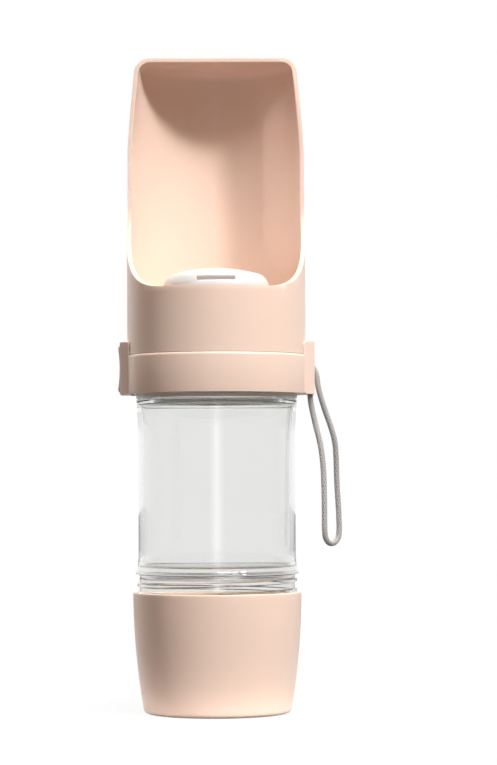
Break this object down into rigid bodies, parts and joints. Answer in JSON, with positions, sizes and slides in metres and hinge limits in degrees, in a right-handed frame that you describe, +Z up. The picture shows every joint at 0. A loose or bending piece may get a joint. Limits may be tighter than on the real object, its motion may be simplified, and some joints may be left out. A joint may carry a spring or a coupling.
{
  "type": "dog travel water bottle",
  "caption": "Upright travel bottle for a dog: scoop trough with side press button on top, clear water bottle, screw-on food cup, cord loop.",
  "frame": {"origin": "centre of the food cup's foot on the ground", "axes": "+Z up along the bottle, trough opens towards -Y, button on the -X side"},
  "size_m": [0.0879, 0.0714, 0.2591],
  "materials": {
    "blush_plastic": "moulded satin blush plastic",
    "clear_plastic": "clear polished plastic",
    "white_plastic": "moulded white plastic",
    "silicone": "matte silicone",
    "steel": "bright stainless steel",
    "cord": "woven grey cord"
  },
  "bodies": {
    "food_cup": {"food_cup": "blush_plastic"},
    "cup_seal": {"cup_seal": "silicone"},
    "bottle": {"water_bottle": "clear_plastic"},
    "neck_seal": {"neck_seal": "silicone"},
    "head": {"bottle_cap": "blush_plastic", "collar_ring": "blush_plastic", "button_frame": "blush_plastic", "drinking_trough": "blush_plastic", "outlet_cover": "white_plastic", "valve_housing": "white_plastic", "housing_screws": "steel", "rod_seal": "silicone", "outlet_gasket": "silicone", "valve_spring": "steel", "lanyard_cord": "cord"},
    "button": {"side_button": "blush_plastic", "push_rod": "steel", "valve_fork": "white_plastic"},
    "valve": {"valve_stem": "white_plastic", "valve_plug": "silicone"}
  },
  "joints": [
    {"name": "cup_lift", "type": "slide", "parent": "food_cup", "child": "cup_seal", "axis": [0, 0, 1], "range_m": [0, 0.008]},
    {"name": "cup_turn", "type": "hinge", "parent": "cup_seal", "child": "bottle", "pos_m": [0, 0, 0.0475], "axis": [0, 0, 1], "range_deg": [0, 720]},
    {"name": "neck_lift", "type": "slide", "parent": "bottle", "child": "neck_seal", "axis": [0, 0, 1], "range_m": [0, 0.008]},
    {"name": "neck_turn", "type": "hinge", "parent": "neck_seal", "child": "head", "pos_m": [0, 0, 0.1232], "axis": [0, 0, 1], "range_deg": [0, 720]},
    {"name": "button_press", "type": "slide", "parent": "head", "child": "button", "axis": [1, 0, 0], "range_m": [0, 0.0024], "stiffness_N_per_m": 900, "springref_m": -0.003},
    {"name": "valve_lift", "type": "slide", "parent": "head", "child": "valve", "axis": [0, 0, 1], "range_m": [0, 0.0024], "deforming": ["valve_spring"]}
  ],
  "couplings": [
    {"joint": "cup_lift", "follows": "cup_turn", "m_per_rad": 0.0006366},
    {"joint": "neck_lift", "follows": "neck_turn", "m_per_rad": 0.0006366},
    {"joint": "valve_lift", "follows": "button_press", "ratio": 1}
  ]
}
